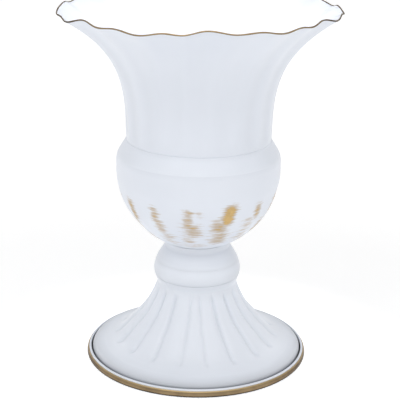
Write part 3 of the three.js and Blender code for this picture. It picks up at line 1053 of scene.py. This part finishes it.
def grooveShape(angles, outline, climb):
    # How deep each place lies below the crest of its rib, and its share of the groove's narrow bottom
    starts = np.array([high + (low - high) * (1 - climb) for high, low, _ in footGrooves])
    starts = np.radians(np.concatenate([starts, starts[:1] + 360])).T
    strengths = [strength for _, _, strength in footGrooves]
    strengths.append(strengths[0])
    place = (angles[:, None] - starts[None, :, 0]) % (2 * math.pi) + starts[None, :, 0]
    press = np.zeros(place.shape)
    bottoms = np.zeros(place.shape)
    for before, after, first, second in zip(starts.T, starts.T[1:], strengths, strengths[1:]):
        inside = (place >= before) & (place <= after)
        share = 2 * (place - before) / (after - before) - 1
        toSecond = share > 0
        towardsFront = toSecond == (np.sin(np.where(toSecond, after, before)) > 0)
        curve = np.where(towardsFront, foot["softSide"], foot["sharpSide"])
        nearest = np.minimum(place - before, after - place) * outline[None, :, 0]
        strength = np.where(toSecond, second, first)
        crease = strength * np.exp(-((nearest / (foot["creaseWidth"] / 2)) ** 2))
        depth = strength * foot["swell"] * np.abs(share) ** curve + foot["creaseDepth"] * crease
        press = np.where(inside, depth, press)
        bottoms = np.where(inside, crease, bottoms)
    return press, bottoms


def jointShade(columns):
    # How dark the painted shade in the joint between foot and pan is
    kept = smoothStep(*foot["darkFrom"], sidewaysTurn(columns))
    return foot["frontJointShade"] + (1 - foot["frontJointShade"]) * kept


def addFoot():
    angles = evenTurn(foot["columns"])
    bottom, top = levels("foot")
    pinch = bottom + foot["pinchHeight"]
    edge = bottom + foot["edgeHeight"]
    start, widening = foot["pinchRadius"], foot["edgeRadius"] - foot["pinchRadius"]
    flank = [[start + out * widening, pinch - down * (pinch - edge)] for down, out in foot["flank"]]
    roll = [[foot["edgeRadius"] - inwards, edge + up] for inwards, up in foot["roll"]]
    collarRadius, collarHeight = foot["collarCurve"]
    collar = [[collarRadius, bottom + collarHeight], [foot["collarRadius"], top]]
    outline = throughPoints([*roll[::-1], *flank[::-1], *collar], foot["outlineSteps"])
    flange = levelRow(foot["collarRadius"] - foot["flangeStart"], foot["hole"], top, foot["flangeRows"])
    outline = np.concatenate([outline[:-1], flange])
    above = outline[:, 1] - bottom
    press, bottoms = grooveShape(angles, outline, np.clip(above / foot["grooveTop"], 0, 1))
    lowerRunOut, upperRunOut = foot["grooveRunOut"]
    fade = smoothStep(foot["grooveBottom"], foot["grooveBottom"] + lowerRunOut, above)
    fade *= 1 - smoothStep(foot["grooveTop"] - upperRunOut, foot["grooveTop"], above)
    radius, height = sheetSections(outline, -press * fade[None])
    # Painted shade: the joint, the rolled edge above it, the bottoms of the grooves and the collar
    # under the knop
    above = height - edge - min(foot["roll"])[1]
    high, low = foot["jointFrom"]
    deep = jointShade(foot["columns"]) * (1 - smoothStep(low, high, above))
    grime = np.maximum(deep, foot["edgeShade"] * (1 - smoothStep(0, foot["edgeReach"], above)))
    grime[:, : len(outline)] += foot["creaseShade"] * bottoms * fade[None]
    low, high, underShade = foot["collarShade"]
    grime += underShade * smoothStep(low, high, height)
    grime = np.clip(grime, 0, 1)
    addRing("footShell", radius, height, paintedLightEnamel, "white_paint", "foot", grime=grime)


addFoot()
print("foot made")


# Pan, brass band and felt pad under the foot

pan = {
    "lipRadius": 77.9,
    "lipHeight": 4.4,
    "hem": 1.6,
    "hemTurn": 200,
    "hemRows": 13,
    "bend": 1,
    "bossRadius": 17,
    "bossSlope": 6,
    "bendInside": 0.4,  # how far the inner bends move with the sheet, as shares of its thickness
    "bossInside": 0.5,
    "softness": 0.35,
    # painted shade in the joint with the foot: where it starts and where it is deep, beside the hem and
    # above the bottom
    "jointAside": [0.1, -0.4],
    "jointBelow": [3.8, 3.2],
    "jointAbove": [0.2, 0.6],
    "columns": 480,
}


def addPan():
    bottom, bossTop = levels("base_pan")
    lip, bend, boss = pan["lipRadius"], pan["bend"], pan["bossRadius"]
    slopeEnd = boss + pan["bossSlope"]
    hemRound = pan["hem"] / 2
    hemBottom = bottom + pan["lipHeight"] - pan["hem"]
    around = np.radians(np.linspace(0, pan["hemTurn"], pan["hemRows"]))
    hem = [
        [lip - hemRound * (1 - math.cos(a)), hemBottom + hemRound * (1 + math.sin(a))] for a in around
    ]
    under = [
        [rodHole, bossTop - sheet],
        [boss, bossTop - sheet],
        [slopeEnd, bottom],
        [lip - bend, bottom],
        [lip, bottom + bend],
    ]
    inside = [
        [lip - sheet, hemBottom],
        [lip - sheet, bottom + bend + pan["bendInside"] * sheet],
        [lip - bend - pan["bendInside"] * sheet, bottom + sheet],
        [slopeEnd + pan["bossInside"] * sheet, bottom + sheet],
        [boss + pan["bossInside"] * sheet, bossTop],
        [rodHole, bossTop],
    ]
    outline = softCorners(under + hem + inside, pan["softness"])
    radius, height = turnedSections(outline, pan["columns"])
    # painted shade in the joint with the foot
    outer, inner = np.add(pan["jointAside"], lip - hemRound)
    deep = 1 - smoothStep(inner, outer, radius)
    high, low = pan["jointBelow"]
    deep *= 1 - smoothStep(low, high, height - bottom)
    deep *= smoothStep(*np.add(pan["jointAbove"], bottom), height)
    grime = deep * jointShade(pan["columns"])
    addRing("panSheet", radius, height, satinEnamel, "white_paint", "base_pan", grime=grime)


band = {
    "inner": 78,
    "thickness": 1.2,
    # shares [up, out] of its height and thickness
    "outline": [[0.03, 0.2], [0, 0.5], [0.18, 1], [0.5, 1], [0.8, 0.75], [1, 0.3], [0.97, 0]],
    "outlineSteps": 8,
    "drop": 0.5,
    "rise": 0.5,
    "grime": 0.67,
    "brightTop": 1.1,  # painted highlight along the upper edge
    # painted shade along the lower edge
    "bottomShade": 1.2,
    "lowReach": 1.6,
    "flankShade": 0.25,  # painted shade, more at the sides than in front
    "sidesFrom": [30, 75],
    "columns": 480,
}


def addBand():
    low, high = levels("base_band")
    low -= band["drop"]
    high += band["rise"]
    inner, thickness = band["inner"], band["thickness"]
    points = [[inner + out * thickness, low + up * (high - low)] for up, out in band["outline"]]
    section = throughPoints(points, band["outlineSteps"])
    radius, height = turnedSections(section, band["columns"])
    # tarnish, with painted shade along the lower edge and at the sides and a painted highlight along
    # the upper edge
    grime = band["grime"] + band["bottomShade"] * (1 - smoothStep(low, low + band["lowReach"], height))
    grime -= band["grime"] * smoothStep(high - band["brightTop"], high, height)
    grime += band["flankShade"] * smoothStep(*band["sidesFrom"], sidewaysTurn(band["columns"]))
    addRing("baseBand", radius, height, brassMetal, "brass_edge", "base_band", grime=grime)


pad = {"radius": 69, "width": 14, "softness": 0.4, "columns": 240}


def addPad():
    low, high = levels("base_pad")
    outer = pad["radius"]
    inner = outer - pad["width"]
    corners = [[inner, low], [outer, low], [outer, high], [inner, high]]
    addTurned("feltPad", corners, pad, greyFelt, "grey_felt", "base_pad")


addPan()
addBand()
addPad()
print("pan, band and pad made")


# Tie rod, nuts, washers and seal

rod = {
    "radius": 3,
    "threadPitch": 1,
    "threadDepth": 0.55,
    "rowsPerTurn": 8,
    "plainEnd": 0.4,
    "chamferHeight": 1.2,
    "chamferDepth": 0.6,
    "endStep": 0.2,
    "core": 0.01,  # the faces of both ends close around a pinhole
    "columns": 32,
}


def addRod():
    # Rolled M6 thread from end to end, as a screw ridge on the rod
    low, high = levels("tie_rod")
    angles = evenTurn(rod["columns"])
    step = rod["threadPitch"] / rod["rowsPerTurn"]
    level = np.arange(low + rod["plainEnd"], high - rod["plainEnd"], step)
    phase = (level[None] / rod["threadPitch"] - angles[:, None] / (2 * math.pi)) % 1
    depth = rod["threadDepth"] * np.abs(2 * phase - 1)
    ends = np.minimum(level - low, high - level)[None]
    chamfer = np.clip(rod["chamferHeight"] - ends, 0, 1) * rod["chamferDepth"]
    side = rod["radius"] - np.maximum(depth, chamfer)
    core = np.full((rod["columns"], 1), rod["core"])
    first, last = side[:, :1] - rod["endStep"], side[:, -1:] - rod["endStep"]
    radius = np.concatenate([core, first, side, last, core], axis=1)
    height = np.tile(np.concatenate([[low, low], level, [high, high]]), (rod["columns"], 1))
    addRing("tieRod", radius, height, zincPlate, "zinc_steel", "tie_rod")


nut = {
    "acrossFlats": 10,
    "face": 0.97,  # as a share of the width across the flats
    "chamferSlope": 0.55,
    "holeChamfer": 0.35,
    "columns": 144,
}


def addNut(name, node):
    # Hexagon nut with the chamfers that leave curved corners on both faces
    low, high = levels(node)
    angles = evenTurn(nut["columns"])
    sector = math.pi / 3
    inFlat = (angles + sector / 2 - math.pi / 2) % sector - sector / 2
    side = nut["acrossFlats"] / 2 / np.cos(inFlat)
    face = nut["acrossFlats"] / 2 * nut["face"]
    chamfer = (side - face) * nut["chamferSlope"]
    bevel = nut["holeChamfer"]
    rows = [
        [rodHole, low + bevel],
        [rodHole + bevel, low],
        [face, low],
        [side, low + chamfer],
        [side, high - chamfer],
        [face, high],
        [rodHole + bevel, high],
        [rodHole, high - bevel],
    ]
    turned = [[np.broadcast_to(value, side.shape) for value in row] for row in rows]
    radius, height = np.transpose(turned, (1, 2, 0))
    addRing(name, radius, height, zincPlate, "zinc_steel", node).data.shade_flat()


washer = {"radius": 8, "softness": 0.3, "columns": 120}


def addWasher():
    low, high = levels("bowl_washer")
    outer = washer["radius"]
    corners = [[rodHole, low], [outer, low], [outer, high], [rodHole, high]]
    addTurned("bowlWasher", corners, washer, zincPlate, "zinc_steel", "bowl_washer")


seal = {"radius": 9.5, "flange": 1.6, "spigotRadius": 4.7, "softness": 0.4, "columns": 120}


def addSeal():
    low, high = levels("bowl_seal")
    flange = high - seal["flange"]
    corners = [
        [rodHole, low],
        [seal["spigotRadius"], low],
        [seal["spigotRadius"], flange],
        [seal["radius"], flange],
        [seal["radius"], high],
        [rodHole, high],
    ]
    addTurned("bowlSeal", corners, seal, blackRubber, "black_rubber", "bowl_seal")


addRod()
addNut("bowlNut", "top_nut")
addNut("panNut", "base_nut")
addWasher()
addSeal()
for node in ("stem_tube", "saddle_plate", "lock_washer"):
    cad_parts[node].data.materials.clear()
    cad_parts[node].data.materials.append(zincPlate)
print("clamp parts made")


# Floor


def addFloor():
    radius = studio["floorRadius"] * mm
    turns = evenTurn(studio["floorCorners"])
    corners = [(radius * math.cos(a), radius * math.sin(a), 0) for a in turns]
    mesh = bpy.data.meshes.new("floor")
    mesh.from_pydata(corners, [], [list(range(len(corners)))])
    mesh.materials.append(makeFloorPaper())
    floor = bpy.data.objects.new("floor", mesh)
    bpy.context.scene.collection.objects.link(floor)


addFloor()
print("floor laid")
